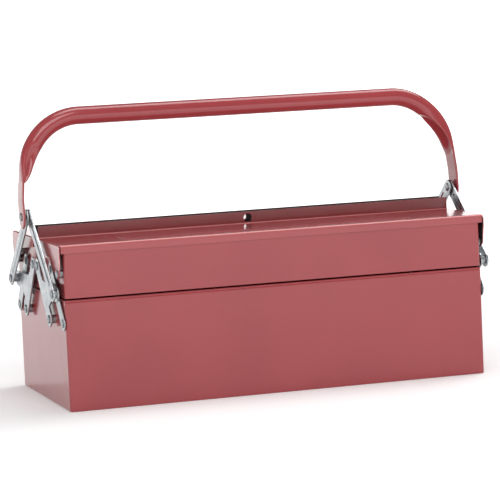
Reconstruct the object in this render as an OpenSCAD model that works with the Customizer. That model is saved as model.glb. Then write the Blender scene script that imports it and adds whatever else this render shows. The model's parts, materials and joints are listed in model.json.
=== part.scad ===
// Cantilever toolbox in folded sheet steel. A deep lower box carries two trays, front and
// rear, on parallel links at both ends. Each tray has a hinged lid, and a tubular bail
// handle lifts the cranks through an inverted V of lift links.
// Millimetres. X runs left to right, Y front to back and Z up, from the middle of the base.

/* [Box] */
// Length of the lower box, left to right
box_length = 430; // [400:1:460]
// Depth of the lower box, front to back
box_depth = 200; // [196:1:220]
// Height of the lower box's rim above the ground
box_height = 108; // [104:0.5:108.5]
// Thickness of the folded sheet
sheet = 1; // [0.8:0.1:1.2]
// Outside radius of the folded vertical corners
corner_r = 3; // [2:0.5:3]
// Height of the rolled bead round the box's rim
bead_height = 3; // [2:0.5:5]
// How far the bead stands out of the box's wall
bead_out = 0.4; // [0.2:0.1:0.5]
// Height of the hem folded inwards under each rim
hem_height = 8; // [4:1:12]

/* [Trays] */
// Clearance between the box's rim and the trays' floor
tray_lift = 1.5; // [1:0.5:3]
// Height of the trays' rim above the ground
tray_rim = 157.6; // [156:0.2:157.6]
// Distance from the middle plane to each tray's inner wall
tray_inner = 2; // [1.5:0.5:4]
// How much shorter than the box each tray is, at each end
tray_short = 0.5; // [0.5:0.1:1]
// Width of the ledge that the lid's inner edge rests on
ledge_width = 10; // [8:1:14]

/* [Lids] */
// Height of the lids' flat tops above the ground
lid_top = 161; // [161:0.5:163]
// How far each lid stands out beyond the box's front or back
lid_overhang = 1.5; // [1.5:0.1:3]
// How far each lid stands out beyond the box's ends
lid_end_overhang = 4; // [3.8:0.1:4]
// Height of the skirt along each lid's outer edge
skirt_height = 8; // [6:1:10]
// Distance from the middle plane to each lid's upright flange
flange_y = 9; // [8:0.5:10]
// Height of the upright flange above the lid
flange_height = 11.8; // [11:0.2:16]
// How much shorter than the lid the flange is, at each end
flange_short = 2; // [1:0.5:6]
// Radius of the padlock hole in each flange
padlock_r = 4.4; // [3:0.1:4.6]
// Height of the padlock hole's centre above the lid
padlock_rise = 5.4; // [5.2:0.1:6]
// Lid hinge: distance from the middle plane
lid_hinge_y = 90; // [88:0.5:91]
// Lid hinge: height above the ground
lid_hinge_z = 133; // [132:0.5:134]

/* [Linkage] */
// Crank pivot on the box: distance from the middle plane
crank_pivot_y = 50.4; // [49:0.1:52]
// Height of the pivots on the box
box_pivot_z = 85.3; // [84:0.1:87]
// Spacing between the crank pivot and the link pivot
pivot_spacing = 43.2; // [42:0.1:44]
// How far the closed linkage leans inwards
link_lean = 40.6; // [39:0.1:42]
// Height of the trays' pivots above the box's pivots
link_rise = 48.7; // [48:0.1:50]
// Length of the crank's arm to the lift link
crank_arm = 45; // [44:0.1:46]
// Angle that the linkage turns through, closed to open
opening_angle = 78; // [60:1:78]
// Height of the handle's pivot, closed
handle_pivot_z = 182.4; // [181:0.1:184]
// Thickness of the cranks and the lift links
plate_t = 1.8; // [1.5:0.1:1.8]
// Thickness of the plain links
link_t = 1.2; // [1:0.1:1.2]
// Radius of the links' ends
link_r = 7; // [6:0.5:7]
// Radius of the cranks' lobes and the lift links' ends
lobe_r = 7.5; // [7:0.5:8]

/* [Handle] */
// Outside diameter of the handle's tube
tube_d = 18; // [16:0.5:20]
// Wall of the tube
tube_wall = 1.2; // [1:0.1:1.5]
// Distance from the handle's pivot to the middle of its grip
handle_reach = 97; // [95:1:105]
// Radius of the handle's bends, on the tube's centreline
bend_r = 55; // [45:1:57]
// Width of the flattened ends
flat_width = 23.5; // [22:0.5:26]
// Thickness of the flattened ends
flat_t = 2.4; // [2.4:0.1:3]
// How far the tube stands out beyond the flattened ends
tube_out = 1.5; // [0:0.5:2]
// Distance from the pivot to where the flat starts to open into the tube
flat_length = 33; // [28:1:36]
// Play between the outer lift links and the flattened ends
handle_play = 2.2; // [1:0.2:2.4]
// Inward lean of the legs above the lift links
leg_lean = 5; // [0:1:6]
// Bend angle at which the tube is fully round
round_angle = 15; // [10:1:25]
// Backward lean of the handle at rest
handle_lean = 5.5; // [0:0.5:8]

/* [Fasteners] */
// Radius of the rivets' shanks
shank_r = 2.5; // [2:0.1:3]
// Radius of the rivets' heads
head_r = 4.2; // [3.8:0.1:4.5]
// Height of the rivets' domed heads
head_h = 1.4; // [1:0.1:1.4]
// Height of the low heads that the cranks pass over
low_head_h = 0.8; // [0.6:0.1:0.8]
// Running clearance of a bore on its rivet
bore_clearance = 0.06; // [0.02:0.01:0.1]
// Gap along a rivet between parts that turn against each other
gap = 0.3; // [0.25:0.05:0.3]

/* [Hidden] */

$fn = 48;
corner_steps = 5;
LEFT = -1;
RIGHT = 1;
FRONT = -1;
REAR = 1;
red = [0.68, 0.27, 0.29];
zinc = [0.78, 0.80, 0.82];
dark_zinc = [0.62, 0.65, 0.68];
overlap = 1;

// Half sizes of the box and trays
box_x = box_length / 2;
box_y = box_depth / 2;
tray_x = box_x - tray_short;
tray_floor = box_height + tray_lift;
lid_x = box_x + lid_end_overhang;
lid_y = box_y + lid_overhang;
lid_under = lid_top - sheet;
flange_top = lid_top + flange_height;

// Pivots of the rear linkage as [y, z]; the front linkage is its mirror image
crank_pivot = [crank_pivot_y, box_pivot_z];
link_pivot = [crank_pivot_y + pivot_spacing, box_pivot_z];
tray_crank_pivot = crank_pivot + [-link_lean, link_rise];
tray_link_pivot = link_pivot + [-link_lean, link_rise];
arm_angle = opening_angle / 2;
lift_pivot = crank_pivot + crank_arm * [cos(arm_angle), sin(arm_angle)];
handle_pivot = [0, handle_pivot_z];
lid_hinge = [lid_hinge_y, lid_hinge_z];
bore_r = shank_r + bore_clearance;

// Ears of the lids: depth near the middle, radius round the hinge, and corners and the
// start of the outer edge's taper, measured from the hinge
ear_depth = 10;
ear_r = 5.5;
ear_shoulder = [-32, 13];
ear_heel = [lid_overhang + 6, -2];
ear_taper = 16;

// Corners of the cranks: along the upper edge, measured from the tray's pivot, and round
// the notch, measured from the box's pivot
crank_brow = [[14, -8], [21, -12.6]];
crank_notch = [[12, 18.5], [1, 12.5], [7.1, 6.5]];

// Layers of the linkage outside the box's ends, from the panel outwards
link_x = box_x + bead_out + gap + 0.1;
crank_x = link_x + link_t + 2 * gap + low_head_h;
inner_lift_x = crank_x + plate_t + gap + head_h + 0.5;
outer_lift_x = inner_lift_x + plate_t + 2 * gap;
flat_x = outer_lift_x + plate_t + handle_play;
tube_x = flat_x + flat_t + tube_out - tube_d / 2;

// Points along an arc from one angle to another
function arc(centre, radius, from, to, steps) =
    [for (i = [0 : steps])
        let (a = from + (to - from) * i / steps)
        centre + radius * [cos(a), sin(a)]];

// A rectangle with rounded corners
function rounded_rect(x0, y0, x1, y1, r) = concat(
    arc([x1 - r, y1 - r], r, 0, 90, corner_steps),
    arc([x0 + r, y1 - r], r, 90, 180, corner_steps),
    arc([x0 + r, y0 + r], r, 180, 270, corner_steps),
    arc([x1 - r, y0 + r], r, 270, 360, corner_steps));

// A strip with round ends between two pivots
function strip(from, to, r) =
    let (along = atan2(to[1] - from[1], to[0] - from[0]))
    concat(arc(to, r, along - 90, along + 90, 12), arc(from, r, along + 90, along + 270, 12));

// The lift links on one diagonal pass inside those on the other
function lift_x(end, side) = end * side > 0 ? inner_lift_x : outer_lift_x;

// Moves a part made for the rear right corner to another corner
module at_corner(end, side) {
    mirror([end < 0 ? 1 : 0, 0, 0])
        mirror([0, side < 0 ? 1 : 0, 0])
            children();
}

// Repeats a rear right part at both ends of one side
module at_both_ends(side) {
    for (end = [LEFT, RIGHT])
        at_corner(end, side)
            children();
}

// A flat plate from its [y, z] outline, with its inner face at x
module plate(outline, x, thickness) {
    translate([x, 0, 0])
        rotate([90, 0, 90])
            linear_extrude(thickness)
                polygon(outline);
}

// A round bar or bore along X at a pivot
module bar(pivot, x0, x1, radius) {
    translate([x0, pivot[0], pivot[1]])
        rotate([0, 90, 0])
            cylinder(h = x1 - x0, r = radius);
}

// A ring round a rivet
module spacer(pivot, x0, x1) {
    difference() {
        bar(pivot, x0, x1, head_r);
        bar(pivot, x0 - overlap, x1 + overlap, shank_r);
    }
}

// Half section of one rivet head, from its rim to its crown
function head_section(at, rise) =
    [for (i = [0 : 4])
        let (a = i * 22.5)
        [head_r * cos(a), at + rise * sin(a)]];

// Half section of one rivet end, from the shank to the axis
function end_section(at, rise) =
    rise == 0 ? [[shank_r, at], [0, at]] : concat([[shank_r, at]], head_section(at, rise));

function reversed(points) = [for (i = [len(points) - 1 : -1 : 0]) points[i]];

// A rivet along X: the shank runs from x0 to x1, with a domed head beyond each end
module rivet(pivot, x0, x1, head_in, head_out) {
    translate([0, pivot[0], pivot[1]])
        rotate([0, 90, 0])
            rotate_extrude()
                polygon(concat(reversed(end_section(x0, -head_in)), end_section(x1, head_out)));
}

// An open sheet shell with a folded floor and a hem turned inwards at its rim
module open_shell(x0, y0, x1, y1, floor_z, rim_z) {
    inner_r = corner_r - sheet;
    difference() {
        translate([0, 0, floor_z])
            linear_extrude(rim_z - floor_z)
                polygon(rounded_rect(x0, y0, x1, y1, corner_r));
        translate([0, 0, floor_z + sheet])
            linear_extrude(rim_z - floor_z - sheet - hem_height)
                polygon(rounded_rect(x0 + sheet, y0 + sheet, x1 - sheet, y1 - sheet, inner_r));
        translate([0, 0, floor_z + 2 * sheet])
            linear_extrude(rim_z - floor_z)
                polygon(rounded_rect(
                    x0 + 2 * sheet, y0 + 2 * sheet, x1 - 2 * sheet, y1 - 2 * sheet, inner_r / 2));
    }
}

// The bead rolled outwards round the lower box's rim
module rim_bead() {
    translate([0, 0, box_height - bead_height])
        difference() {
            linear_extrude(bead_height)
                polygon(rounded_rect(
                    -box_x - bead_out, -box_y - bead_out, box_x + bead_out, box_y + bead_out,
                    corner_r + bead_out));
            translate([0, 0, -overlap])
                linear_extrude(bead_height + 2 * overlap)
                    polygon(rounded_rect(
                        -box_x + sheet, -box_y + sheet, box_x - sheet, box_y - sheet,
                        corner_r - sheet));
        }
}

module lower_box() {
    color(red)
        difference() {
            union() {
                open_shell(-box_x, -box_y, box_x, box_y, 0, box_height);
                rim_bead();
            }
            for (side = [FRONT, REAR])
                for (pivot = [crank_pivot, link_pivot])
                    at_corner(RIGHT, side)
                        bar(pivot, -box_x - overlap, box_x + overlap, shank_r);
        }
}

// The ledge along a tray's inner wall
module tray_ledge() {
    ledge_top = lid_under - gap;
    translate([-tray_x + corner_r, tray_inner, tray_rim - hem_height])
        cube([2 * (tray_x - corner_r), sheet, ledge_top - tray_rim + hem_height]);
    translate([-tray_x + corner_r, tray_inner, ledge_top - sheet])
        cube([2 * (tray_x - corner_r), ledge_width, sheet]);
}

module tray(side) {
    color(red)
        at_corner(RIGHT, side)
            difference() {
                union() {
                    open_shell(-tray_x, tray_inner, tray_x, box_y, tray_floor, tray_rim);
                    tray_ledge();
                }
                for (pivot = [tray_crank_pivot, tray_link_pivot, lid_hinge])
                    bar(pivot, -tray_x - overlap, tray_x + overlap, shank_r);
            }
}

// Outline of a lid's end ear: shallow towards the middle, deep round the lid's hinge
ear_outline = concat(
    [[flange_y + sheet, lid_top], [flange_y + sheet, lid_top - ear_depth],
     lid_hinge + ear_shoulder],
    arc(lid_hinge, ear_r, 225, 290, 6),
    [lid_hinge + ear_heel, [lid_y, lid_hinge_z + ear_taper], [lid_y, lid_top]]);

module lid(side) {
    folded_sheet = [
        [flange_y, lid_under], [lid_y - sheet, lid_under],
        [lid_y - sheet, lid_top - skirt_height], [lid_y, lid_top - skirt_height],
        [lid_y, lid_top], [flange_y, lid_top]];
    flange_x = lid_x - flange_short;
    color(red)
        at_corner(RIGHT, side)
            difference() {
                union() {
                    plate(folded_sheet, -lid_x, 2 * lid_x);
                    translate([-flange_x, flange_y, lid_under])
                        cube([2 * flange_x, sheet, flange_top - lid_under]);
                    for (end = [LEFT, RIGHT])
                        at_corner(end, REAR)
                            plate(ear_outline, lid_x - sheet, sheet);
                }
                bar(lid_hinge, -lid_x - overlap, lid_x + overlap, bore_r);
                translate([0, flange_y - overlap, lid_top + padlock_rise])
                    rotate([-90, 0, 0])
                        cylinder(h = sheet + 2 * overlap, r = padlock_r);
            }
}

// Outline of a crank: lobes at the tray, lift link and box pivots, with a stop notch
crank_outline = concat(
    arc(tray_crank_pivot, lobe_r, 215, 0, 14),
    [for (p = crank_brow) tray_crank_pivot + p],
    arc(lift_pivot, lobe_r, 90, -80, 12),
    [for (p = crank_notch) crank_pivot + p],
    arc(crank_pivot, lobe_r, 0, -145, 10));

module crank(end, side) {
    through = [crank_x - overlap, crank_x + plate_t + overlap];
    color(zinc)
        at_corner(end, side)
            difference() {
                plate(crank_outline, crank_x, plate_t);
                bar(tray_crank_pivot, through[0], through[1], bore_r);
                bar(crank_pivot, through[0], through[1], bore_r);
                bar(lift_pivot, through[0], through[1], shank_r);
            }
}

module link(end, side) {
    color(zinc)
        at_corner(end, side)
            difference() {
                plate(strip(link_pivot, tray_link_pivot, link_r), link_x, link_t);
                for (pivot = [link_pivot, tray_link_pivot])
                    bar(pivot, link_x - overlap, link_x + link_t + overlap, bore_r);
            }
}

module lift_link(end, side) {
    x = lift_x(end, side);
    apex_bore = end * side > 0 ? shank_r : bore_r;
    color(zinc)
        at_corner(end, side)
            difference() {
                plate(strip(lift_pivot, handle_pivot, lobe_r), x, plate_t);
                bar(lift_pivot, x - overlap, x + plate_t + overlap, bore_r);
                bar(handle_pivot, x - overlap, x + plate_t + overlap, apex_bore);
            }
}

// Where the legs start to lean inwards, and where their bends start along the leaning leg
lean_x = flat_x + flat_t / 2;
lean_z = 16;
bend_in = tube_x - bend_r + bend_r * sin(leg_lean) - lean_x;
bend_base = lean_z - bend_r * cos(leg_lean)
    + (handle_reach - lean_z - bend_in * sin(leg_lean)) / cos(leg_lean);

// Stations along one half of the handle, from the flat's end to the bend's far end. Each is
// [x, z, angle of the outward normal, half thickness, half width].
open_length = bend_base + bend_r * sin(round_angle) - flat_length;
function eased(t) = sin(90 * t);
function flat_station(z, half_w) = [lean_x, z, 0, flat_t / 2, half_w];
function opening_station(t) =
    let (
        z = flat_length + t * open_length,
        angle = asin(max(0, z - bend_base) / bend_r),
        half_t = (flat_t + (tube_d - flat_t) * eased(t)) / 2,
        half_w = (flat_width + (tube_d - flat_width) * eased(t)) / 2,
        set_in = tube_out * (1 - eased(t)),
        from_bend = bend_r + tube_d / 2 - half_t)
    [tube_x - bend_r - set_in + from_bend * cos(angle),
     bend_base + (angle > 0 ? from_bend * sin(angle) : z - bend_base), angle, half_t, half_w];
function bend_station(angle) =
    [tube_x - bend_r + bend_r * cos(angle), bend_base + bend_r * sin(angle), angle,
     tube_d / 2, tube_d / 2];

// The same station on the leaning leg
function leaned(s) =
    let (dx = s[0] - lean_x, dz = s[1] - lean_z)
    [lean_x + dx * cos(leg_lean) - dz * sin(leg_lean),
     lean_z + dx * sin(leg_lean) + dz * cos(leg_lean), s[2] + leg_lean, s[3], s[4]];

end_stations = concat(
    [for (a = [80 : -16 : 0]) flat_station(-flat_width / 2 * sin(a), flat_width / 2 * cos(a))],
    [[lean_x, lean_z, leg_lean / 2, flat_t / 2, flat_width / 2]]);
opening_stations = [for (i = [0 : 10]) leaned(opening_station(i / 10))];
last_angle = 90 - leg_lean;
bend_stations = [for (i = [1 : 10])
    leaned(bend_station(round_angle + (last_angle - round_angle) * i / 10))];

// The same station on the handle's other half
function across_middle(s) = [-s[0], s[1], 180 - s[2], s[3], s[4]];

// One ring of the handle's surface, pulled in by a wall thickness
ring_sides = 24;
function ring(s, inset) =
    let (r = (s[3] - inset) / cos(180 / ring_sides))
    [for (i = [0 : ring_sides - 1])
        let (
            a = 360 * (i + 0.5) / ring_sides,
            out = r * cos(a),
            wide = r * sin(a) + sign(sin(a)) * (s[4] - s[3]))
        [s[0] + out * cos(s[2]), wide, s[1] + out * sin(s[2])]];

// A closed tube through every station of one half and its mirror image
module sweep(half, inset) {
    stations = concat(half, [for (s = reversed(half)) across_middle(s)]);
    count = len(stations);
    n = ring_sides;
    sides = [for (r = [0 : count - 2], i = [0 : n - 1])
        [r * n + i, (r + 1) * n + i, (r + 1) * n + (i + 1) % n, r * n + (i + 1) % n]];
    first = [for (i = [0 : n - 1]) i];
    last = [for (i = [n - 1 : -1 : 0]) (count - 1) * n + i];
    polyhedron(
        points = [for (s = stations) each ring(s, inset)],
        faces = concat([first, last], sides));
}

module handle() {
    hollow_opening = [for (i = [6 : 10]) opening_stations[i]];
    color(red)
        translate([0, handle_pivot[0], handle_pivot[1]])
            rotate([-handle_lean, 0, 0])
                difference() {
                    sweep(concat(end_stations, opening_stations, bend_stations), 0);
                    sweep(concat(hollow_opening, bend_stations), tube_wall);
                    for (end = [LEFT, RIGHT])
                        at_corner(end, REAR)
                            bar([0, 0], flat_x - overlap, flat_x + flat_t + overlap, bore_r);
                }
}

// Rivets through a panel whose outer face is at panel_x, holding a crank and a plain link
module pivot_rivets(crank_at, link_at, panel_x) {
    rivet(crank_at, panel_x - sheet, crank_x + plate_t + gap, head_h, head_h);
    rivet(link_at, panel_x - sheet, link_x + link_t + gap, head_h, low_head_h);
}

module pivot_spacers(crank_at, link_at, panel_x) {
    spacer(crank_at, panel_x, crank_x - gap);
    spacer(link_at, panel_x, link_x - gap);
}

module box_rivets() {
    color(dark_zinc)
        for (side = [FRONT, REAR])
            at_both_ends(side)
                pivot_rivets(crank_pivot, link_pivot, box_x);
}

module box_spacers() {
    color(dark_zinc)
        for (side = [FRONT, REAR])
            at_both_ends(side)
                pivot_spacers(crank_pivot, link_pivot, box_x);
}

module tray_rivets(side) {
    color(dark_zinc)
        at_both_ends(side)
            pivot_rivets(tray_crank_pivot, tray_link_pivot, tray_x);
}

module tray_spacers(side) {
    color(dark_zinc)
        at_both_ends(side)
            pivot_spacers(tray_crank_pivot, tray_link_pivot, tray_x);
}

module lid_rivets(side) {
    color(dark_zinc)
        at_both_ends(side)
            rivet(lid_hinge, tray_x - sheet, lid_x + gap, head_h, head_h);
}

module lid_spacers(side) {
    color(dark_zinc)
        at_both_ends(side)
            spacer(lid_hinge, tray_x, lid_x - sheet - gap);
}

// Rivets from the cranks to the lift links, flush with each crank's inner face
module crank_rivets(side) {
    color(dark_zinc)
        for (end = [LEFT, RIGHT])
            at_corner(end, side)
                rivet(lift_pivot, crank_x, lift_x(end, side) + plate_t + gap, 0, head_h);
}

module crank_spacers(side) {
    color(dark_zinc)
        for (end = [LEFT, RIGHT])
            at_corner(end, side)
                spacer(lift_pivot, crank_x + plate_t, lift_x(end, side) - gap);
}

// The inner end of the apex rivet, in the inner lift link
module apex_rivet(side) {
    color(dark_zinc)
        at_corner(side, side)
            rivet(handle_pivot, inner_lift_x, inner_lift_x + plate_t, head_h, 0);
}

// The outer end of the apex rivets, on which the handle swings
module handle_rivets() {
    color(dark_zinc)
        at_both_ends(REAR)
            rivet(handle_pivot, outer_lift_x + plate_t + gap, flat_x + flat_t + gap, 0, head_h);
}

module front_tray() { tray(FRONT); }
module rear_tray() { tray(REAR); }
module front_lid() { lid(FRONT); }
module rear_lid() { lid(REAR); }
module front_left_crank() { crank(LEFT, FRONT); }
module front_right_crank() { crank(RIGHT, FRONT); }
module rear_left_crank() { crank(LEFT, REAR); }
module rear_right_crank() { crank(RIGHT, REAR); }
module front_left_link() { link(LEFT, FRONT); }
module front_right_link() { link(RIGHT, FRONT); }
module rear_left_link() { link(LEFT, REAR); }
module rear_right_link() { link(RIGHT, REAR); }
module front_left_lift_link() { lift_link(LEFT, FRONT); }
module front_right_lift_link() { lift_link(RIGHT, FRONT); }
module rear_left_lift_link() { lift_link(LEFT, REAR); }
module rear_right_lift_link() { lift_link(RIGHT, REAR); }
module front_tray_rivets() { tray_rivets(FRONT); }
module rear_tray_rivets() { tray_rivets(REAR); }
module front_lid_rivets() { lid_rivets(FRONT); }
module rear_lid_rivets() { lid_rivets(REAR); }
module front_crank_rivets() { crank_rivets(FRONT); }
module rear_crank_rivets() { crank_rivets(REAR); }
module front_apex_rivet() { apex_rivet(FRONT); }
module rear_apex_rivet() { apex_rivet(REAR); }
module front_tray_spacers() { tray_spacers(FRONT); }
module rear_tray_spacers() { tray_spacers(REAR); }
module front_lid_spacers() { lid_spacers(FRONT); }
module rear_lid_spacers() { lid_spacers(REAR); }
module front_crank_spacers() { crank_spacers(FRONT); }
module rear_crank_spacers() { crank_spacers(REAR); }

lower_box();
front_tray();
rear_tray();
front_lid();
rear_lid();
front_left_crank();
front_right_crank();
rear_left_crank();
rear_right_crank();
front_left_link();
front_right_link();
rear_left_link();
rear_right_link();
front_left_lift_link();
front_right_lift_link();
rear_left_lift_link();
rear_right_lift_link();
handle();
box_rivets();
front_tray_rivets();
rear_tray_rivets();
front_lid_rivets();
rear_lid_rivets();
front_crank_rivets();
rear_crank_rivets();
front_apex_rivet();
rear_apex_rivet();
handle_rivets();
box_spacers();
front_tray_spacers();
rear_tray_spacers();
front_lid_spacers();
rear_lid_spacers();
front_crank_spacers();
rear_crank_spacers();
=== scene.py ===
"""Cantilever toolbox: finished meshes, materials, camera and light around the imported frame.

Shapes are worked out in millimetres. A part of the linkage is made for the rear right corner
and mirrored to the others. Places come from the frame's boxes and joints, and new_piece()
turns millimetres into the frame's metres.
"""

import json
import math

import bmesh
import bpy
from mathutils import Matrix, Vector
from mathutils.geometry import tessellate_polygon


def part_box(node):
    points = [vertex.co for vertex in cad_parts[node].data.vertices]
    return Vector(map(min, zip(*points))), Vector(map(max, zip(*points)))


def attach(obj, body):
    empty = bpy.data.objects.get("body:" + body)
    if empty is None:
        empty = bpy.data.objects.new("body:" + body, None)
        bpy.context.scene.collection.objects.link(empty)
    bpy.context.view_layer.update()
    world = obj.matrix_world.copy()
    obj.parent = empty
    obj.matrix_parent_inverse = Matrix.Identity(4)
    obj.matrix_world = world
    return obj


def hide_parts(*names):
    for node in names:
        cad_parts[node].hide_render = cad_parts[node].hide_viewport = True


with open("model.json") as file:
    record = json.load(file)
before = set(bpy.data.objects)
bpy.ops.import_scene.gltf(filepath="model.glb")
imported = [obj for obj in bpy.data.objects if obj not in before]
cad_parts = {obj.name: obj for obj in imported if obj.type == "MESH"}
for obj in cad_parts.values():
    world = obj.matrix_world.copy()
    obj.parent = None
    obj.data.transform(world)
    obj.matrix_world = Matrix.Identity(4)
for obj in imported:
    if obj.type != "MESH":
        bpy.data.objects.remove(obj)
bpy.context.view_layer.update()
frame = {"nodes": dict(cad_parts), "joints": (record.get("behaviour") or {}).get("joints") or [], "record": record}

MM = 0.001
LEFT, RIGHT = -1, 1
FRONT, REAR = -1, 1
SIDES = {"front": FRONT, "rear": REAR}
ENDS = {"left": LEFT, "right": RIGHT}

# Folded sheet, in millimetres like all sizes up to the studio's
SHEET = 1.0
CORNER_R = 3.0
FOLD_R = 1.6
HEM = 8.0
HEM_TIP = ((2.0, 0.0), (1.6, 0.5), (1.0, 0.7))  # (sheets in, millimetres below the hem)
TRAY_FOLD_R = 0.6
BEAD_R = 1.1
BEAD_OUT = 0.4
BEAD_END = 52.0  # degrees round the bead where it goes down inside the box's rim
BEAD_FALL = 1.2  # from the bead's top to where it meets the hem
GROOVE = 0.35
GROOVE_STEPS = ((0.0, 1.4), (0.6, 0.7), (1.0, 0.1))  # (part of the depth, below the bead)
LEDGE_WIDTH = 10.0
LEDGE_TIP = 0.3
LEDGE_GAP = 0.5  # to the tray's round corners
LEDGE_RISE = 1.1  # between a tray's rim and the underside of its ledge

# Lids
BEND_R = 2.0
FLANGE_FOOT_R = 1.6
SKIRT = 8.0
EAR_LOBE_R = 5.5
EAR_TOE_R = 2.0
EAR_TOE_IN = 5.2  # from the lid's front edge to the middle of the toe's curve
EAR_STEP = ((-33.0, 13.4), (-31.0, 12.8))  # from the hinge, where the edge starts to go down
EAR_SHALLOW = 8.0
PADLOCK_PATCH = 8.0  # half width of the part of the flange round its hole
PANEL_MARGIN_X = 66.0
PANEL_MARGIN_Y = (18.0, 16.0)
PANEL_CORNER = 9.0
PANEL_STEPS = ((0.0, 0.0), (0.7, 0.22), (1.5, 0.62), (2.3, 0.8))  # (distance in, rise)

# Linkage and rivets
LOBE_R = 7.5
LINK_R = 7.0
PLATE_EDGE = 0.4
SHARPEST_MITRE = 0.4  # keeps a sharp corner from moving too far when an outline is pulled in
CORNER_SOFTNESS = 0.9  # from a corner to the points added beside it
# A plate's edge, by steps of (distance in from its face, distance in from its outline)
EASED_EDGE = ((0.0, PLATE_EDGE), (0.3 * PLATE_EDGE, 0.3 * PLATE_EDGE), (PLATE_EDGE, 0.0))
# The crank's outline between its lobes: the stop notch from the box's pivot, and the brow and
# the stop's mark from the tray's
CRANK_NOTCH = ((7.2, 6.5), (1.0, 12.5), (12.0, 18.5))
CRANK_BROW = ((21.0, -12.6), (14.0, -8.0))
STOP_MARK = (30.0, -13.0)
STOP_MARK_R = 0.9
SHANK_R = 2.5
HEAD_R = 4.2
HEAD_H = 1.4
LOW_HEAD_H = 0.8
HEAD_LIP = 0.2  # part of a head's height that is its straight rim
HEAD_DIMPLE = ((1.0, 1.15), (0.82, 0.9), (0.72, 0.45))  # (part of the head's height, radius)
RIVET_GAP = 0.3
RIB_START = 15.0
RIB_STEPS = ((3.4, 0.0), (3.1, 0.1), (2.5, 0.7), (2.2, 0.8), (1.3, 0.84))  # (radius, rise)

# Handle
TUBE_R = 9.0
TUBE_OUT = 1.5  # how far the tube stands out past the flat ends
TUBE_REACH = 97.0  # from the pivot up to the middle of the grip
TUBE_BEND = 55.0
FLAT_LENGTH = 33.0
FLAT_T = 2.4
FLAT_W = 23.5
LEAN_FROM = 16.0
LEAN_SOFTNESS = 3.0
LEG_LEAN = 5.0
HANDLE_LEAN = 5.5
TUBE_SIDES = 48
# Degrees round the flat's tip, and the part of its thickness that is left at its very end
TIP_ANGLES = (84, 78, 68, 56, 42, 28, 14, 0)
TIP_THINNING = {84: 0.5, 78: 0.85}
# The bend angle where the tube is round again, how long the leg stays thin, how deep the
# creases along its inner side and along its front and rear are, and how late it gets round
LEFT_CRIMP = (26.0, 0.7, 1.5, 3.8, 0.5)
RIGHT_CRIMP = (44.0, 1.1, 6.5, 0.5, 2.2)
# How square a section's corners are, from square at 0 to round at 1
FLAT_CORNERS = 0.42
# Where creases lie and how wide and deep they get, as parts of a section's half width or
# half thickness
CREASE_SHIFT = 0.45
CREASE_SPREAD = 0.75
CREASE_LIMIT = 0.5
GROOVE_SPREAD = 0.8

# Smooth shading stops at edges sharper than this, in degrees
SHARP_FOLD = 35
SHARP_TUBE = 60
SHARP_FLOOR = 30

# Studio, in metres
FLOOR_RINGS = (0.5, 1.5, 3.5)
SWEEP_START = 6.0
SWEEP_RISE = 1.2
WORLD_STRENGTH = 0.26
AIM = (0, 0, 0.12)
OVERHEAD_AT, OVERHEAD_SIZE, OVERHEAD_WATTS = (0.5, 0.25, 1.9), (0.8, 2.3), 24
FRONT_AT, FRONT_SIZE, FRONT_WATTS = (-0.5, -1.9, 1.8), (1.6, 1.2), 22
CAMERA_AT = (-0.7637, -2.4129, 0.3879)
CAMERA_HEADING, CAMERA_DOWN, CAMERA_ROLL = -17.65, 5.76, -2.59  # degrees
CAMERA_SENSOR, CAMERA_LENS = 36, 180.2  # millimetres

BODY_OF = {
    node: body
    for body, nodes in frame["record"]["behaviour"]["bodies"].items()
    for node in nodes
}


# ------------------------------------------------------------------ places from the frame

def pivot_of(joint):
    """A joint's place as (distance from the middle plane, height)."""
    at = next(j["pos_m"] for j in frame["joints"] if j["name"] == joint)
    return abs(at[1]) / MM, at[2] / MM


def box_mm(node):
    """The low and high corners of a CAD node's box."""
    low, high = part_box(node)
    return low / MM, high / MM


def layer(node):
    """How far the inner and outer faces of a plate outside the box's end are from its middle."""
    low, high = box_mm(node)
    return sorted((abs(low.x), abs(high.x)))


def plus(point, step):
    """The place one step away from a (y, z) point."""
    return point[0] + step[0], point[1] + step[1]


CRANK_PIVOT = pivot_of("rear_crank_turn")
LINK_PIVOT = pivot_of("rear_link_turn")
TRAY_CRANK_PIVOT = pivot_of("rear_tray_level")
TRAY_LINK_PIVOT = (
    TRAY_CRANK_PIVOT[0] + LINK_PIVOT[0] - CRANK_PIVOT[0],
    TRAY_CRANK_PIVOT[1],
)
LIFT_PIVOT = pivot_of("rear_lift_link_turn")
HANDLE_PIVOT = pivot_of("handle_swing")
LID_HINGE = pivot_of("rear_lid_hinge")
BOX_LOW, BOX_HIGH = box_mm("lower_box")
BOX_X, BOX_Y = BOX_HIGH.x - BEAD_OUT, BOX_HIGH.y - BEAD_OUT
TRAY_LOW, TRAY_HIGH = box_mm("rear_tray")
LID_LOW, LID_HIGH = box_mm("rear_lid")
CRANK_IN, CRANK_OUT = layer("rear_right_crank")
LINK_IN, LINK_OUT = layer("rear_right_link")
FLAT_OUT = box_mm("handle_rivets")[1].x - HEAD_H - RIVET_GAP
FLAT_MIDDLE = FLAT_OUT - FLAT_T / 2


# ------------------------------------------------------------------ outlines

def arc(centre, radius, start, end, steps):
    """Points round an arc, in degrees."""
    angles = [math.radians(start + (end - start) * i / steps) for i in range(steps + 1)]
    return [(centre[0] + radius * math.cos(a), centre[1] + radius * math.sin(a)) for a in angles]


def circle(centre, radius, steps):
    return arc(centre, radius, 0, 360 - 360 / steps, steps - 1)


def rounded_rect(x0, y0, x1, y1, radius, steps=6):
    return (
        arc((x1 - radius, y1 - radius), radius, 0, 90, steps)
        + arc((x0 + radius, y1 - radius), radius, 90, 180, steps)
        + arc((x0 + radius, y0 + radius), radius, 180, 270, steps)
        + arc((x1 - radius, y0 + radius), radius, 270, 360, steps)
    )


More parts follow.
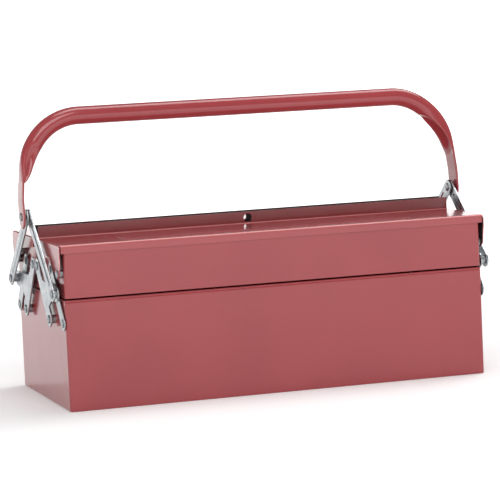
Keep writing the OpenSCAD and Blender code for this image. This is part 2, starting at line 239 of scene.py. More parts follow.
def capsule(start, end, radius, steps=12):
    """A strip with round ends between two points."""
    along = math.degrees(math.atan2(end[1] - start[1], end[0] - start[0]))
    return arc(end, radius, along - 90, along + 90, steps) + arc(
        start, radius, along + 90, along + 270, steps
    )


def between(start, end, distance):
    """The point that far from start on the way to end."""
    whole = math.dist(start, end)
    return tuple(a + (b - a) * distance / whole for a, b in zip(start, end))


def inset(outline, by):
    """An anticlockwise outline, pulled in by a distance."""
    moved = []
    count = len(outline)
    for i, (y, z) in enumerate(outline):
        before, after = outline[i - 1], outline[(i + 1) % count]
        one = Vector((y - before[0], z - before[1])).normalized()
        two = Vector((after[0] - y, after[1] - z)).normalized()
        normal_one, normal_two = Vector((-one.y, one.x)), Vector((-two.y, two.x))
        mitre = (normal_one + normal_two) / max(1 + normal_one.dot(normal_two), SHARPEST_MITRE)
        moved.append((y + mitre.x * by, z + mitre.y * by))
    return moved


# ------------------------------------------------------------------ shapes: (points, faces)

def joined(*shapes):
    """One shape from several."""
    points, faces = [], []
    for more_points, more_faces in shapes:
        base = len(points)
        points += more_points
        faces += [[base + i for i in face] for face in more_faces]
    return points, faces


def at_corner(shape, end, side):
    """A shape made for the rear right corner, mirrored to another corner."""
    points, faces = shape
    moved = [(x * end, y * side, z) for x, y, z in points]
    return moved, [face[::-1] for face in faces] if end * side < 0 else faces


def at_both_ends(shape, side):
    return joined(at_corner(shape, LEFT, side), at_corner(shape, RIGHT, side))


def skin(rings, wrap=True, cap_first=False, cap_last=False):
    """Faces from each ring of points to the next."""
    count = len(rings[0])
    points = [point for ring in rings for point in ring]
    faces = [
        [r * count + i, r * count + (i + 1) % count,
         (r + 1) * count + (i + 1) % count, (r + 1) * count + i]
        for r in range(len(rings) - 1)
        for i in range(count if wrap else count - 1)
    ]
    if cap_first:
        faces.append(list(range(count))[::-1])
    if cap_last:
        faces.append([(len(rings) - 1) * count + i for i in range(count)])
    return points, faces


def extrusion(profile, x0, x1):
    """A solid of one (y, z) profile along X."""
    return skin([[(x, y, z) for y, z in profile] for x in (x0, x1)], True, True, True)


def sheet_strip(profile, columns):
    """One side of a sheet bent along X, with a column of points at each x."""
    return skin([[(x, y, z) for x in columns] for y, z in profile], wrap=False)


def surround(ring, corners, extras, place):
    """Four flat faces from a ring to the rectangle around it. extras are more points on each
    of the rectangle's sides, and place turns each flat point into one in space."""
    quarter = len(ring) // 4
    middle = [i * quarter + quarter // 2 for i in range(4)]
    points, faces = [], []
    for i in range(4):
        first, last = middle[i], middle[(i + 1) % 4]
        if last < first:
            last += len(ring)
        inner = [ring[k % len(ring)] for k in range(last, first - 1, -1)]
        side = [corners[i], *extras[i], corners[(i + 1) % 4], *inner]
        faces.append(list(range(len(points), len(points) + len(side))))
        points += [place(*p) for p in side]
    return points, faces


def shell(x0, y0, x1, y1, corner, profile):
    """A closed skin round a rounded rectangle, by steps of (distance in, height)."""
    rings = [
        [(x, y, z) for x, y in
         rounded_rect(x0 + d, y0 + d, x1 - d, y1 - d, max(corner - d, FOLD_R / 4))]
        for d, z in profile
    ]
    return skin(rings, True, True, True)


def plate(outline, x0, x1, holes=()):
    """A flat plate with eased edges and round (y, z, radius) holes."""
    steps = [(x0 + d, i) for d, i in EASED_EDGE] + [(x1 - d, i) for d, i in EASED_EDGE[::-1]]
    rings = [[(x, y, z) for y, z in inset(outline, i)] for x, i in steps]
    loops = [circle((y, z), r, 24) for y, z, r in holes]
    shapes = [skin(rings)]
    for loop in loops:
        shapes.append(skin([[(x, y, z) for y, z in loop] for x in (x0, x1)]))
    for x in (x0, x1):
        edges = [inset(outline, PLATE_EDGE), *loops]
        flat = [[Vector((x, y, z)) for y, z in edge] for edge in edges]
        points = [tuple(p) for loop in flat for p in loop]
        shapes.append((points, [list(t) for t in tessellate_polygon(flat)]))
    return joined(*shapes)


def lathe(profile, pivot, steps=32):
    """A solid turned round a line along X at a pivot, from (x, radius) steps."""
    rings = [[(x, y, z) for y, z in circle(pivot, r, steps)] for x, r in profile]
    return skin(rings, True, True, True)


def head_profile(at, rise, direction):
    """Half section of a rivet's domed head, from its rim to the dimple in its crown."""
    lip = HEAD_LIP * rise
    dome = [
        (lip + (rise - lip) * math.sin(math.radians(a)), HEAD_R * math.cos(math.radians(a)))
        for a in range(0, 71, 10)
    ]
    dimple = [(part * rise, r) for part, r in HEAD_DIMPLE]
    return [(at + direction * x, r) for x, r in [(0.0, HEAD_R), *dome, *dimple]]


def rivet(pivot, x0, x1, head_in, head_out):
    """A rivet along X, with a head beyond each end of its shank where one is given."""
    start = head_profile(x0, head_in, -1)[::-1] if head_in else []
    end = head_profile(x1, head_out, 1) if head_out else []
    return lathe([*start, (x0, SHANK_R), (x1, SHANK_R), *end], pivot)


# ------------------------------------------------------------------ pieces

def finish_mesh(mesh, sharp, face_up):
    """Joins points that meet, turns the faces outwards, or up, and shades them smooth."""
    work = bmesh.new()
    work.from_mesh(mesh)
    bmesh.ops.remove_doubles(work, verts=work.verts, dist=0.002 * MM)
    bmesh.ops.recalc_face_normals(work, faces=work.faces)
    if face_up and max(work.faces, key=lambda f: f.calc_area()).normal.z < 0:
        bmesh.ops.reverse_faces(work, faces=work.faces)
    work.to_mesh(mesh)
    work.free()
    mesh.shade_smooth()
    mesh.set_sharp_from_angle(angle=math.radians(sharp))


def new_piece(name, shape, material, nodes, sharp=SHARP_FOLD, lining=None):
    """Makes a piece that stands for CAD nodes and rides on their body. A piece with a lining
    is one side of a folded sheet, facing up. It gets its thickness here, and the lining is
    the material of its other side."""
    points, faces = shape
    mesh = bpy.data.meshes.new(name)
    mesh.from_pydata([(x * MM, y * MM, z * MM) for x, y, z in points], [], faces)
    finish_mesh(mesh, sharp, lining is not None)
    mesh.materials.append(material)
    piece = bpy.data.objects.new(name, mesh)
    bpy.context.scene.collection.objects.link(piece)
    if lining:
        mesh.materials.append(lining)
        thickness = piece.modifiers.new("thickness", "SOLIDIFY")
        thickness.thickness = SHEET * MM
        thickness.offset = -1
        thickness.use_even_offset = True
        thickness.material_offset = 1
        edges = piece.modifiers.new("eased edges", "BEVEL")
        edges.width = SHEET / 5 * MM
        edges.segments = 2
        edges.limit_method = "ANGLE"
        edges.angle_limit = math.radians(60)
    normals = piece.modifiers.new("flat faces stay flat", "WEIGHTED_NORMAL")
    normals.keep_sharp = True
    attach(piece, BODY_OF[nodes[0]])
    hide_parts(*nodes)


# ------------------------------------------------------------------ box, trays and lids

def wall_profile(floor, rim_profile, rim, fold_r):
    """Steps over a sheet wall: under the floor, up outside, over the rim and down inside."""
    outer = arc((fold_r, floor + fold_r), fold_r, 270, 180, 5)
    inner = arc((SHEET + FOLD_R, floor + SHEET + FOLD_R), FOLD_R, 180, 270, 5)
    hem = [(sheets * SHEET, rim - HEM - drop) for sheets, drop in HEM_TIP]
    return [*outer, *rim_profile, *hem, *inner]


def lower_box_shape():
    rim = BOX_HIGH.z
    centre = (BEAD_R - BEAD_OUT, rim - BEAD_R)
    meets_wall = 360 - math.degrees(math.acos(-centre[0] / BEAD_R))
    bead = arc(centre, BEAD_R, meets_wall, BEAD_END, 14)
    foot = bead[0][1]
    groove = [(part * GROOVE, foot - drop) for part, drop in GROOVE_STEPS]
    rim_profile = [*groove, *bead[1:], (2 * SHEET, rim - BEAD_FALL)]
    profile = wall_profile(BOX_LOW.z, rim_profile, rim, FOLD_R)
    return shell(-BOX_X, -BOX_Y, BOX_X, BOX_Y, CORNER_R, profile)


def tray_shape(side):
    rim = TRAY_HIGH.z - SHEET - LEDGE_RISE
    fold = arc((SHEET, rim - SHEET), SHEET, 180, 0, 8)
    walls = shell(
        TRAY_LOW.x, TRAY_LOW.y, TRAY_HIGH.x, TRAY_HIGH.y, CORNER_R,
        wall_profile(TRAY_LOW.z, fold, rim, TRAY_FOLD_R),
    )
    y0, top, foot = TRAY_LOW.y, TRAY_HIGH.z, rim - HEM
    tip = y0 + LEDGE_WIDTH
    ledge = (
        [(y0, foot), *arc((y0 + FOLD_R, top - FOLD_R), FOLD_R, 180, 90, 5), (tip, top),
         (tip + LEDGE_TIP, top - SHEET / 2), (tip, top - SHEET)]
        + arc((y0 + FOLD_R, top - FOLD_R), FOLD_R - SHEET, 90, 180, 5)
        + [(y0 + SHEET, foot)]
    )
    run = TRAY_HIGH.x - CORNER_R - LEDGE_GAP
    return at_corner(joined(walls, extrusion(ledge[::-1], -run, run)), RIGHT, side)


def ear_outline(y0, y1, z_top):
    """A lid's end ear below its bend: shallow by the flange, deep round the hinge."""
    hinge_z = LID_HINGE[1]
    return (
        [(y0, z_top), (y0, z_top - EAR_SHALLOW)]
        + [plus(LID_HINGE, step) for step in EAR_STEP]
        + arc(LID_HINGE, EAR_LOBE_R, 225, 290, 8)
        + arc((LID_HIGH.y - EAR_TOE_IN, hinge_z + 0.2), EAR_TOE_R, -70, -15, 4)
        + [(LID_HIGH.y, hinge_z + 16.0), (LID_HIGH.y, z_top - 1.5)]
        + [(y1 + 1.3, z_top - 0.4), (y1, z_top)]
    )


def lid_shape(side):
    """The upper side of a lid's folded sheet: flange, top with a raised panel, skirt, ears."""
    flange_y = LID_LOW.y + SHEET
    flat_y0, flat_y1 = flange_y + FLANGE_FOOT_R, LID_HIGH.y - BEND_R
    flat_x = LID_HIGH.x - BEND_R
    top = TRAY_HIGH.z + RIVET_GAP + SHEET
    rim_z = LID_HIGH.z
    foot_z = top + FLANGE_FOOT_R
    hole = next(m for m in frame["record"]["mounts"] if m["name"] == "padlock_holes")
    hole_r, hole_z = hole["dims"]["r_mm"], hole["pos_m"][2] / MM
    columns = [-flat_x, -PADLOCK_PATCH, PADLOCK_PATCH, flat_x]
    bend_z = top - BEND_R

    foot = arc((flat_y0, foot_z), FLANGE_FOOT_R, 270, 180, 5)
    front_bend = arc((flat_y1, bend_z), BEND_R, 90, 0, 6)
    end_bend = arc((flat_x, bend_z), BEND_R, 90, 0, 6)
    shapes = [
        sheet_strip(foot, columns),
        sheet_strip([*front_bend, (LID_HIGH.y, top - SKIRT)], [-flat_x, flat_x]),
    ]
    for x0, x1 in (columns[:2], columns[2:]):
        shapes.append(sheet_strip([(flange_y, foot_z), (flange_y, rim_z)], [x0, x1]))
    shapes.append(surround(
        circle((0, hole_z), hole_r, 32),
        [(PADLOCK_PATCH, rim_z), (-PADLOCK_PATCH, rim_z),
         (-PADLOCK_PATCH, foot_z), (PADLOCK_PATCH, foot_z)],
        [[], [], [], []],
        lambda x, z: (x, flange_y, z),
    ))

    panel_x = flat_x - PANEL_MARGIN_X
    panel_y = flat_y0 + PANEL_MARGIN_Y[0], flat_y1 - PANEL_MARGIN_Y[1]
    rings = [
        [(x, y, top + rise) for x, y in
         rounded_rect(-panel_x + d, panel_y[0] + d, panel_x - d, panel_y[1] - d, PANEL_CORNER - d)]
        for d, rise in PANEL_STEPS
    ]
    shapes.append(skin(rings, True, False, True))
    shapes.append(surround(
        [(x, y) for x, y, _ in rings[0]],
        [(flat_x, flat_y1), (-flat_x, flat_y1), (-flat_x, flat_y0), (flat_x, flat_y0)],
        [[], [], [(-PADLOCK_PATCH, flat_y0), (PADLOCK_PATCH, flat_y0)], []],
        lambda x, y: (x, y, top),
    ))

    ear = ear_outline(flat_y0, flat_y1, bend_z)
    ear_points = [(LID_HIGH.x, y, z) for y, z in ear]
    end = joined(
        skin([[(x, y, z) for y in (flat_y0, flat_y1)] for x, z in end_bend], wrap=False),
        (ear_points, [list(range(len(ear_points)))]),
    )
    shapes.append(at_both_ends(end, REAR))
    return at_corner(joined(*shapes), RIGHT, side)


# ------------------------------------------------------------------ linkage

def crank_outline():
    """A crank's plate: lobes at three pivots, an eased brow, and the stop notch."""
    tray, box = TRAY_CRANK_PIVOT, CRANK_PIVOT
    return (
        arc(tray, LOBE_R, 20, 215, 14)
        + arc(box, LOBE_R, 215, 360, 12)
        + softened([plus(box, step) for step in CRANK_NOTCH])
        + arc(LIFT_PIVOT, LOBE_R, -80, 90, 12)
        + softened([plus(tray, step) for step in CRANK_BROW])
    )


def softened(points):
    """An open run of points, with one more close to each side of each corner."""
    out = []
    for i, p in enumerate(points):
        before = points[max(i - 1, 0)]
        after = points[min(i + 1, len(points) - 1)]
        if before != p:
            out.append(between(p, before, CORNER_SOFTNESS))
        out.append(p)
        if after != p:
            out.append(between(p, after, CORNER_SOFTNESS))
    return out


def crank_shape():
    holes = [(*p, SHANK_R) for p in (TRAY_CRANK_PIVOT, CRANK_PIVOT, LIFT_PIVOT)]
    holes.append((*plus(TRAY_CRANK_PIVOT, STOP_MARK), STOP_MARK_R))
    return plate(crank_outline(), CRANK_IN, CRANK_OUT, holes)


def link_shape():
    ends = LINK_PIVOT, TRAY_LINK_PIVOT
    return plate(capsule(*ends, LINK_R), LINK_IN, LINK_OUT, [(*p, SHANK_R) for p in ends])


def lift_link_shape(x0, x1):
    """A lift link: a strip with eased edges and a long rib pressed out of it."""
    ends = LIFT_PIVOT, HANDLE_PIVOT
    rib_ends = between(*ends, RIB_START), between(*ends[::-1], RIB_START)
    loops = [(*rib_ends, r, x0 + rise) for r, rise in RIB_STEPS[::-1]]
    loops += [(*ends, LOBE_R - i, x0 + d) for d, i in EASED_EDGE]
    loops += [(*ends, LOBE_R - i, x1 - d) for d, i in EASED_EDGE[::-1]]
    loops += [(*rib_ends, r, x1 + rise) for r, rise in RIB_STEPS]
    rings = [[(x, y, z) for y, z in capsule(a, b, r)] for a, b, r, x in loops]
    return skin(rings, True, True, True)


def pivot_rivets(crank_at, link_at, panel_in):
    """The two rivets that hold a crank and a link to one end panel."""
    return joined(
        rivet(crank_at, panel_in, CRANK_OUT + RIVET_GAP, HEAD_H, HEAD_H),
        rivet(link_at, panel_in, LINK_OUT + RIVET_GAP, HEAD_H, LOW_HEAD_H),
    )


# ------------------------------------------------------------------ handle

def leaned(x, z, turn):
    """A place on the upright half of the handle, leaned inwards above the lift links."""
    lean = math.radians(LEG_LEAN)
    dx, dz = x - FLAT_MIDDLE, z - LEAN_FROM
    return (
        FLAT_MIDDLE + dx * math.cos(lean) - dz * math.sin(lean),
        LEAN_FROM + dx * math.sin(lean) + dz * math.cos(lean),
        turn + lean,
    )


def flat_stations():
    """The flattened end, from its round tip up past the place where the leg starts to lean."""
    flat_t, flat_w = FLAT_T / 2, FLAT_W / 2
    found = []
    for degrees in TIP_ANGLES:
        a, thin = math.radians(degrees), TIP_THINNING.get(degrees, 1)
        tip_z, tip_w = -flat_w * math.sin(a), flat_w * math.cos(a)
        found.append((FLAT_MIDDLE, tip_z, 0.0, flat_t * thin, tip_w, 0.0, 0.0, 0.0))
    lean = math.radians(LEG_LEAN)
    for part in (0.0, 0.25, 0.5, 0.75, 1.0):
        z = LEAN_FROM + (part - 0.5) * 2 * LEAN_SOFTNESS
        shift = LEAN_SOFTNESS * math.tan(lean) * part * part / 2
        found.append((FLAT_MIDDLE - shift, z, lean * part, flat_t, flat_w, 0.0, 0.0, 0.0))
    return found


def handle_stations(round_angle, pinch, crease, groove, late):
    """Sections of one half of the handle, from the flat's end to the middle of the grip:
    (x, z above the pivot, turn, half thickness, half width, roundness, crease, groove).
    pinch above 1 keeps the leg thin for longer."""
    lean, round_turn = math.radians(LEG_LEAN), math.radians(round_angle)
    flat_t, flat_w = FLAT_T / 2, FLAT_W / 2
    tube_x = FLAT_MIDDLE + flat_t + TUBE_OUT - TUBE_R
    bend_x = tube_x - TUBE_BEND
    over = bend_x + TUBE_BEND * math.sin(lean) - FLAT_MIDDLE
    bend_z = LEAN_FROM - TUBE_BEND * math.cos(lean)
    bend_z += (TUBE_REACH - LEAN_FROM - over * math.sin(lean)) / math.cos(lean)
    straight_run = bend_z - FLAT_LENGTH
    bend_start = straight_run / (straight_run + TUBE_BEND * round_turn)

    def on_bend(turn, out, x=bend_x, z=bend_z):
        return leaned(x + out * math.cos(turn), z + out * math.sin(turn), turn)

    found = flat_stations()
    opening_steps, bend_steps = 32, 16
    for i in range(opening_steps + 1):
        part = i / opening_steps
        half_t = flat_t + (TUBE_R - flat_t) * math.sin(math.pi / 2 * part ** pinch)
        half_w = flat_w + (TUBE_R - flat_w) * (part * part * (3 - 2 * part))
        set_in = TUBE_OUT * (1 - math.sin(math.pi / 2 * part))
        turn = round_turn * max(0.0, part - bend_start) / (1 - bend_start)
        z = FLAT_LENGTH + straight_run * min(1.0, part / bend_start)
        place = on_bend(turn, TUBE_BEND + TUBE_R - half_t, bend_x - set_in, z)
        folded = math.sin(math.pi * part) ** 0.8
        found.append((*place, half_t, half_w, part ** late, crease * folded, groove * folded))
    for i in range(1, bend_steps + 1):
        turn = round_turn + (math.pi / 2 - lean - round_turn) * i / bend_steps
        found.append((*on_bend(turn, TUBE_BEND), TUBE_R, TUBE_R, 1.0, 0.0, 0.0))
    return found


def handle_ring(station):
    """One section of the handle: a flattened tube with a crease pressed into its inner side,
    which runs out towards the front below, and a groove along its front and rear."""
    x, z, turn, half_t, half_w, roundness, crease, groove = station
    power = FLAT_CORNERS + (1 - FLAT_CORNERS) * roundness
    crease_y = -CREASE_SHIFT * half_w * (1 - roundness)
    ring = []
    for i in range(TUBE_SIDES):
        a = 2 * math.pi * i / TUBE_SIDES
        out = math.copysign(half_t * abs(math.cos(a)) ** power, math.cos(a))
        wide = math.copysign(half_w * abs(math.sin(a)) ** power, math.sin(a))
        wide -= math.copysign(groove * max(0.0, 1 - abs(out) / (GROOVE_SPREAD * half_t)), wide)
        if out < 0 and crease:
            pressed = crease * max(0.0, 1 - abs(wide - crease_y) / (CREASE_SPREAD * half_w))
            out = min(out + pressed, CREASE_LIMIT * half_t)
        ring.append((x + out * math.cos(turn), wide, z + out * math.sin(turn)))
    return ring


def handle_shape():
    right = [handle_ring(station) for station in handle_stations(*RIGHT_CRIMP)]
    left = [handle_ring(station) for station in handle_stations(*LEFT_CRIMP)]
    mirrored = [[(-x, y, z) for x, y, z in ring] for ring in left[::-1]]
    points, faces = skin(right + mirrored, True, True, True)
    lean = Matrix.Rotation(math.radians(-HANDLE_LEAN), 3, "X")
    pivot = Vector((0, *HANDLE_PIVOT))
    return [tuple(pivot + lean @ Vector(p)) for p in points], faces


# ------------------------------------------------------------------ materials

class Shader:
    """A small helper that adds nodes to one material."""

    def __init__(self, name):
        self.material = bpy.data.materials.new(name)
        self.material.use_nodes = True
        self.nodes = self.material.node_tree.nodes
        self.links = self.material.node_tree.links
        self.surface = self.nodes["Principled BSDF"]
        self.where = self.add("ShaderNodeTexCoord").outputs["Object"]

    def add(self, kind, **values):
        """Adds a node and sets its inputs, or else its settings, by name."""
        node = self.nodes.new(kind)
        for name, value in values.items():
            if name in node.inputs:
                node.inputs[name].default_value = value
            else:
                setattr(node, name, value)
        return node

    def noise(self, scale, detail=2.0, stretch=None, roughness=0.5):
        """Noise whose lumps are about 1 / scale metres across."""
        node = self.add("ShaderNodeTexNoise", Scale=scale, Detail=detail, Roughness=roughness)
        where = self.stretched(stretch) if stretch else self.where
        self.links.new(where, node.inputs["Vector"])
        return node.outputs["Fac"]

    def stretched(self, scale):
        """The object's own coordinates, scaled along each axis."""
        mapping = self.add("ShaderNodeMapping", Scale=scale)
        self.links.new(self.where, mapping.inputs["Vector"])
        return mapping.outputs["Vector"]

    def ramp(self, factor, *stops):
        """A colour ramp from (position, colour) stops."""
        node = self.add("ShaderNodeValToRGB")
        self.links.new(factor, node.inputs["Fac"])
        elements = node.color_ramp.elements
        while len(elements) < len(stops):
            elements.new(0.5)
        for element, (position, colour) in zip(elements, stops):
            element.position = position
            element.color = (*colour, 1.0)
        return node.outputs["Color"]

    def mix(self, factor, one, two, blend="MIX"):
        """A blend of two colours. Each input is a number, a colour or another node's output."""
        node = self.add("ShaderNodeMix", data_type="RGBA", blend_type=blend)
        sockets = [node.inputs[i] for i in (0, 6, 7)]  # factor, A and B of a colour mix
        for socket, value in zip(sockets, (factor, one, two)):
            if isinstance(value, (int, float)):
                socket.default_value = value
            elif isinstance(value, tuple):
                socket.default_value = (*value, 1.0)
            else:
                self.links.new(value, socket)
        return node.outputs[2]  # the colour result

    def span(self, factor, low, high, clamp_low=0.0, clamp_high=1.0):
        """A number from low to high as the factor goes from clamp_low to clamp_high."""
        node = self.add("ShaderNodeMapRange")
        self.links.new(factor, node.inputs["Value"])
        for name, value in zip(
            ("From Min", "From Max", "To Min", "To Max"), (clamp_low, clamp_high, low, high)
        ):
            node.inputs[name].default_value = value
        return node.outputs["Result"]

    def bump(self, height, depth_mm, below=None):
        """Adds relief of that depth to the surface's normal."""
        node = self.add("ShaderNodeBump", Strength=1.0, Distance=depth_mm * MM)
        self.links.new(height, node.inputs["Height"])
        if below is not None:
            self.links.new(below, node.inputs["Normal"])
        return node.outputs["Normal"]

    def set(self, **inputs):
        """Sets the shader's inputs, named with _ for a space, and returns the material."""
        for name, value in inputs.items():
            socket = self.surface.inputs[name.replace("_", " ")]
            if isinstance(value, bpy.types.NodeSocket):
                self.links.new(value, socket)
            elif isinstance(value, tuple):
                socket.default_value = (*value, 1.0)
            else:
                socket.default_value = value
        return self.material


def red_colour(s):
    """Slightly mottled pinkish red, with a painted highlight along its convex edges."""
    tone = s.ramp(s.noise(9.0, 3.0), (0.3, (0.325, 0.043, 0.049)), (0.7, (0.365, 0.051, 0.057)))
    speckle = s.ramp(s.noise(700.0, 2.0), (0.36, (0.955, 0.95, 0.95)), (0.6, (1.0, 1.0, 1.0)))
    colour = s.mix(1.0, tone, speckle, "MULTIPLY")
    # Painted highlight: convex edges are lifted to a pale pink in place of the shine along rounded bends.
    edge = s.span(s.add("ShaderNodeNewGeometry").outputs["Pointiness"], 0.0, 0.35, 0.52, 0.6)
    return s.mix(edge, colour, (0.52, 0.13, 0.14))


def red_coat(s, colour):
    """Satin powder coat with orange peel over that colour."""
    roughness = s.span(s.noise(35.0, 4.0), 0.12, 0.19, 0.3, 0.7)
    waves = s.bump(s.noise(14.0, 1.0), 0.2)
    peel = s.bump(s.noise(850.0, 2.0), 0.012, waves)
    return s.set(
        Base_Color=colour, Roughness=roughness, Normal=peel, IOR=1.5,
        Coat_Weight=0.2, Coat_Roughness=0.1, Coat_IOR=1.5,
    )


def red_paint():
    s = Shader("red_powder_coat")
    return red_coat(s, red_colour(s))


def lid_paint():
    """The lids' red: darkened by painted shade on the upright flange, with painted highlights along the two long
    folds.
    """
    s = Shader("red_lid_coat")
    flange = (LID_LOW.y + SHEET) * MM
    width = LID_HIGH.y - LID_LOW.y - SHEET
    split = s.add("ShaderNodeSeparateXYZ")
    s.links.new(s.where, split.inputs["Vector"])
    distance = s.add("ShaderNodeMath", operation="ABSOLUTE")
    s.links.new(split.outputs["Y"], distance.inputs[0])
    across = s.span(distance.outputs[0], 0.0, 1.0, flange, flange + width * MM)
    # Painted shade: the upright flange is darkened towards a deeper red.
    painted_flange_shade = s.ramp(across, (0.3 / width, (0.62, 0.25, 0.26)), (1.0 / width, (1.0, 1.0, 1.0)))
    none, some = (0.0, 0.0, 0.0), (0.95, 0.95, 0.95)
    # Painted highlights: pale lines along the flange's foot bend and the lid's front bend.
    painted_fold_highlight = s.ramp(
        across,
        (0.3 / width, none), (0.9 / width, some), (1.5 / width, some), (2.2 / width, none),
        (1 - 2.4 / width, none), (1 - 1.7 / width, some), (1 - 0.4 / width, some), (1.0, none),
    )
    colour = s.mix(1.0, red_colour(s), painted_flange_shade, "MULTIPLY")
    return red_coat(s, s.mix(painted_fold_highlight, colour, (0.70, 0.26, 0.25)))


def near_black_inside():
    """Dull near-black on the lids' inner sides, with a faint red tint."""
    s = Shader("near_black_inside")
    tone = s.ramp(s.noise(40.0, 4.0), (0.35, (0.012, 0.007, 0.008)), (0.75, (0.030, 0.010, 0.011)))
    roughness = s.span(s.noise(90.0, 3.0), 0.45, 0.62, 0.3, 0.7)
    return s.set(Base_Color=tone, Roughness=roughness, Normal=s.bump(s.noise(700.0, 2.0), 0.015))


def zinc_plate():
    """Bright zinc plate: cloudy spangle, a rolled grain, and fine scratches."""
    s = Shader("zinc_plate")
    cloud = s.ramp(
        s.noise(160.0, 4.0, roughness=0.6),
        (0.32, (0.32, 0.345, 0.365)), (0.5, (0.42, 0.445, 0.46)), (0.68, (0.51, 0.52, 0.51)),
    )
    grain = s.noise(240.0, 3.0, stretch=(1.0, 1.0, 14.0))
    colour = s.mix(s.span(grain, 0.0, 0.3, 0.4, 0.75), cloud, (0.35, 0.38, 0.42))
    roughness = s.span(s.noise(120.0, 4.0), 0.22, 0.42, 0.3, 0.7)
    relief = s.bump(grain, 0.012, s.bump(s.noise(60.0, 2.0), 0.05))
    return s.set(Base_Color=colour, Metallic=1.0, Roughness=roughness, Normal=relief)


def rivet_steel():
    """Zinc on hammered rivets: duller, with painted shade darkening the dimples, and small dents."""
    s = Shader("rivet_steel")
    cloud = s.ramp(
        s.noise(420.0, 3.0), (0.35, (0.24, 0.26, 0.28)), (0.65, (0.42, 0.44, 0.45)),
    )
    # Painted shade: the concave dimples in the heads are darkened.
    painted_dimple_shade = s.span(s.add("ShaderNodeNewGeometry").outputs["Pointiness"], 0.7, 0.0, 0.42, 0.5)
    colour = s.mix(painted_dimple_shade, cloud, (0.16, 0.16, 0.17))
    roughness = s.span(s.noise(300.0, 3.0), 0.28, 0.5, 0.3, 0.7)
    return s.set(
        Base_Color=colour, Metallic=1.0, Roughness=roughness,
        Normal=s.bump(s.noise(500.0, 2.0), 0.05),
    )


def floor_white():
    """Seamless white studio sweep that glows more strongly away from the object."""
    s = Shader("studio_floor")
    tone = s.ramp(s.noise(3.0, 2.0), (0.3, (0.88, 0.88, 0.88)), (0.7, (0.90, 0.90, 0.90)))
    away = s.add("ShaderNodeVectorMath", operation="LENGTH")
    s.links.new(s.stretched((0.6, 1.0, 1.0)), away.inputs[0])
    glow = s.span(away.outputs["Value"], 0.2, 1.0, 0.2, 2.0)
    return s.set(
        Base_Color=tone, Roughness=0.9, Emission_Color=(1.0, 1.0, 1.0), Emission_Strength=glow
    )


# ------------------------------------------------------------------ the object

def build_red(paint, lid_coat, near_black_side):
    new_piece("lower_box_shell", lower_box_shape(), paint, ["lower_box"])
    for name, side in SIDES.items():
        tray, lid = f"{name}_tray", f"{name}_lid"
        new_piece(f"{tray}_shell", tray_shape(side), paint, [tray])
        new_piece(f"{lid}_sheet", lid_shape(side), lid_coat, [lid], lining=near_black_side)
    new_piece("bail_handle", handle_shape(), paint, ["handle"], sharp=SHARP_TUBE)


def build_linkage(zinc):
    for side_name, side in SIDES.items():
        for end_name, end in ENDS.items():
            corner = f"{side_name}_{end_name}"
            for kind, shape in (
                ("crank", crank_shape()),
                ("link", link_shape()),
                ("lift_link", lift_link_shape(*layer(f"{corner}_lift_link"))),
            ):
                node = f"{corner}_{kind}"
                new_piece(f"{node}_plate", at_corner(shape, end, side), zinc, [node])


def build_rivets(steel):
    panel_in = BOX_X - SHEET
    tray_in = TRAY_HIGH.x - SHEET

    def rivets(name, shape):
        new_piece(f"{name}_set", shape, steel, [name])

    box = pivot_rivets(CRANK_PIVOT, LINK_PIVOT, panel_in)
    rivets("box_rivets", joined(*(at_both_ends(box, side) for side in SIDES.values())))
    inner_in, inner_out = layer("rear_right_lift_link")
    outer_out = layer("rear_left_lift_link")[1]
    swing = rivet(HANDLE_PIVOT, outer_out + RIVET_GAP, FLAT_OUT + RIVET_GAP, 0, HEAD_H)
    rivets("handle_rivets", at_both_ends(swing, REAR))
    for name, side in SIDES.items():
        tray = pivot_rivets(TRAY_CRANK_PIVOT, TRAY_LINK_PIVOT, tray_in)
        rivets(f"{name}_tray_rivets", at_both_ends(tray, side))
        hinge = rivet(LID_HINGE, tray_in, LID_HIGH.x + RIVET_GAP, HEAD_H, HEAD_H)
        rivets(f"{name}_lid_rivets", at_both_ends(hinge, side))
        lifts = []
        for end_name, end in ENDS.items():
            head_at = layer(f"{name}_{end_name}_lift_link")[1] + RIVET_GAP
            lifts.append(at_corner(rivet(LIFT_PIVOT, CRANK_IN, head_at, 0, HEAD_H), end, side))
        rivets(f"{name}_crank_rivets", joined(*lifts))
        apex = rivet(HANDLE_PIVOT, inner_in, inner_out, HEAD_H, 0)
        rivets(f"{name}_apex_rivet", at_corner(apex, side, side))


def finish_cad_nodes(steel):
    """The spacers stay as CAD made them, with the rivets' finish."""
    for name, node in frame["nodes"].items():
        if name.endswith("_spacers"):
            for slot in node.material_slots:
                slot.material = steel


# ------------------------------------------------------------------ studio

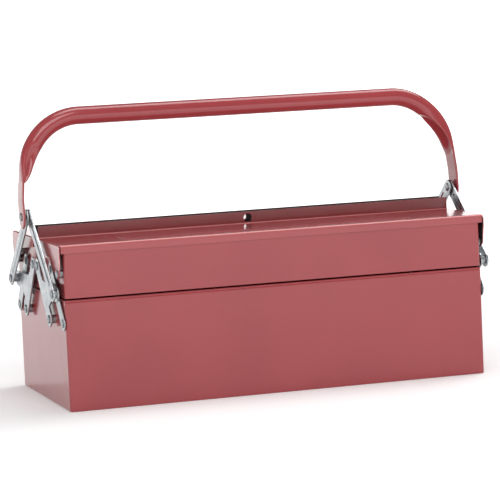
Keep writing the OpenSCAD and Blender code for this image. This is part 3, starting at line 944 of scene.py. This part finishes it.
def add_floor():
    """A white sweep: flat round the object, and rising far away so that no horizon shows."""
    rise = arc((SWEEP_START, SWEEP_RISE), SWEEP_RISE, 270, 360, 12)
    profile = [*((r, 0.0) for r in FLOOR_RINGS), *rise]
    rings = [[(x, y, z) for x, y in circle((0, 0), r, 96)] for r, z in profile]
    points, faces = skin(rings, cap_first=True)
    mesh = bpy.data.meshes.new("studio_floor")
    mesh.from_pydata(points, [], faces)
    finish_mesh(mesh, SHARP_FLOOR, True)
    mesh.materials.append(floor_white())
    floor = bpy.data.objects.new("studio_floor", mesh)
    bpy.context.scene.collection.objects.link(floor)


def add_world():
    world = bpy.data.worlds.new("studio")
    world.use_nodes = True
    background = world.node_tree.nodes["Background"]
    background.inputs["Color"].default_value = (1.0, 1.0, 1.0, 1.0)
    background.inputs["Strength"].default_value = WORLD_STRENGTH
    bpy.context.scene.world = world


def add_softbox(name, location, size, power):
    """A rectangular light that points at the object."""
    light = bpy.data.lights.new(name, "AREA")
    light.shape = "RECTANGLE"
    light.size, light.size_y = size
    light.energy = power
    lamp = bpy.data.objects.new(name, light)
    lamp.location = location
    aim = Vector(AIM) - Vector(location)
    lamp.rotation_euler = aim.to_track_quat("-Z", "Y").to_euler()
    bpy.context.scene.collection.objects.link(lamp)


def add_camera():
    camera = bpy.data.cameras.new("camera")
    camera.sensor_width = CAMERA_SENSOR
    camera.lens = CAMERA_LENS
    view = bpy.data.objects.new("camera", camera)
    view.matrix_world = (
        Matrix.Translation(CAMERA_AT)
        @ Matrix.Rotation(math.radians(CAMERA_HEADING), 4, "Z")
        @ Matrix.Rotation(math.radians(90 - CAMERA_DOWN), 4, "X")
        @ Matrix.Rotation(math.radians(CAMERA_ROLL), 4, "Z")
    )
    bpy.context.scene.collection.objects.link(view)
    bpy.context.scene.camera = view


add_camera()
add_world()
add_softbox("overhead", OVERHEAD_AT, OVERHEAD_SIZE, OVERHEAD_WATTS)
add_softbox("front_key", FRONT_AT, FRONT_SIZE, FRONT_WATTS)
add_floor()
bpy.context.scene.view_settings.view_transform = "Standard"
steel = rivet_steel()
build_red(red_paint(), lid_paint(), near_black_inside())
build_linkage(zinc_plate())
build_rivets(steel)
finish_cad_nodes(steel)
